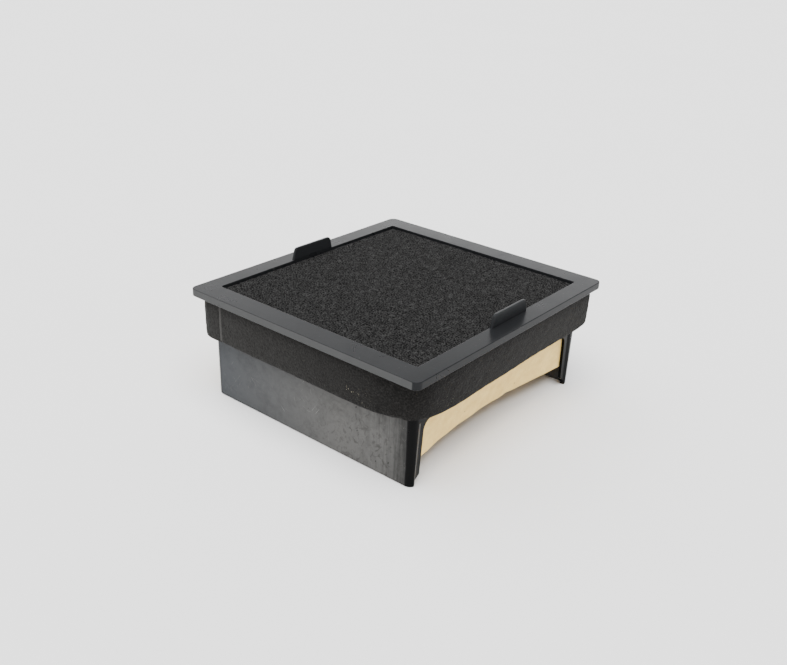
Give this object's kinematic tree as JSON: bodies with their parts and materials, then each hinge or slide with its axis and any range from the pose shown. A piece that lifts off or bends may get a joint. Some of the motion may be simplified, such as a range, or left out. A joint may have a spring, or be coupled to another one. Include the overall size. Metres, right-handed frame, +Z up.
{
  "type": "solder fume extractor filter cassette",
  "caption": "Rectangular filter cassette: flanged top frame with pull tabs over a foam pad, foam seal band, pleated paper pack between two side plates.",
  "frame": {"origin": "under the middle of the cassette, on the level of the lower edges of its two side plates", "axes": "+X across the flange's longer side, from one side plate to the other; -Y the front, on whose edge the flange carries the front pull tab; +Z up, against the air flow, out of the pre-filter foam"},
  "size_m": [0.15, 0.1358, 0.0627],
  "materials": {
    "frame_plastic": "satin black-grey moulded plastic with a fine grain",
    "shell_plastic": "glossy black moulded plastic with fine scuffs",
    "grid_plastic": "black moulded plastic",
    "prefilter_foam": "charcoal open-cell foam",
    "seal_foam": "brown-black fine foam",
    "fleece": "thin white non-woven",
    "carbon": "activated carbon granules bonded in fleece",
    "filter_paper": "tan pleated filter paper",
    "hot_melt": "amber hot-melt adhesive",
    "adhesive_tape": "thin double-sided tape"
  },
  "bodies": {
    "cassette": {"top_frame": "frame_plastic", "body_shell": "shell_plastic", "prefilter_grid": "grid_plastic", "fleece_upper": "fleece", "carbon_mat": "carbon", "fleece_lower": "fleece", "pleat_pack": "filter_paper", "end_potting_left": "hot_melt", "end_potting_right": "hot_melt", "edge_bead_front": "hot_melt", "edge_bead_rear": "hot_melt", "spacer_bead_upper_1": "hot_melt", "spacer_bead_upper_2": "hot_melt", "spacer_bead_upper_3": "hot_melt", "spacer_bead_upper_4": "hot_melt", "spacer_bead_lower_1": "hot_melt", "spacer_bead_lower_2": "hot_melt", "spacer_bead_lower_3": "hot_melt", "spacer_bead_lower_4": "hot_melt", "seal_band": "seal_foam", "band_adhesive_tape": "adhesive_tape"},
    "prefilter": {"prefilter_foam": "prefilter_foam"}
  },
  "joints": [
    {"name": "prefilter_lift", "type": "slide", "parent": "cassette", "child": "prefilter", "axis": [0, 0, 1], "range_m": [0, 0.022]}
  ]
}
